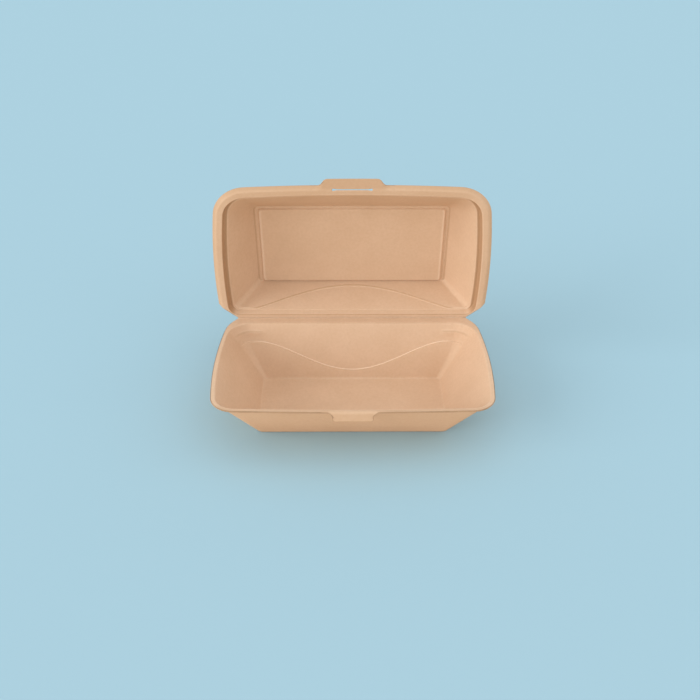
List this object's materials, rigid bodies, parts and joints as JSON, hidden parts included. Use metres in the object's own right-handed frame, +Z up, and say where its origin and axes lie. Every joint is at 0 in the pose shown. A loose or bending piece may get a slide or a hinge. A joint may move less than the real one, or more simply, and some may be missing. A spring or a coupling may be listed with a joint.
{
  "type": "takeaway food container",
  "caption": "Hinged clamshell food box in tan moulded fibre, standing open, with a locking tongue and a slotted lid tab.",
  "frame": {"origin": "centre of the foot's underside", "axes": "+Z up, hinge at +Y, front with the locking tongue at -Y, +X along the hinge"},
  "size_m": [0.242, 0.1822, 0.1988],
  "materials": {
    "moulded_fibre": "matte pressed fibre with a faint mottle"
  },
  "bodies": {
    "base": {"base_tray": "moulded_fibre"},
    "lid": {"lid_tray": "moulded_fibre"}
  },
  "joints": [
    {"name": "lid_hinge", "type": "hinge", "parent": "base", "child": "lid", "pos_m": [0, 0.05975, 0.0535], "axis": [1, 0, 0], "range_deg": [-99.5, 80.5]}
  ]
}
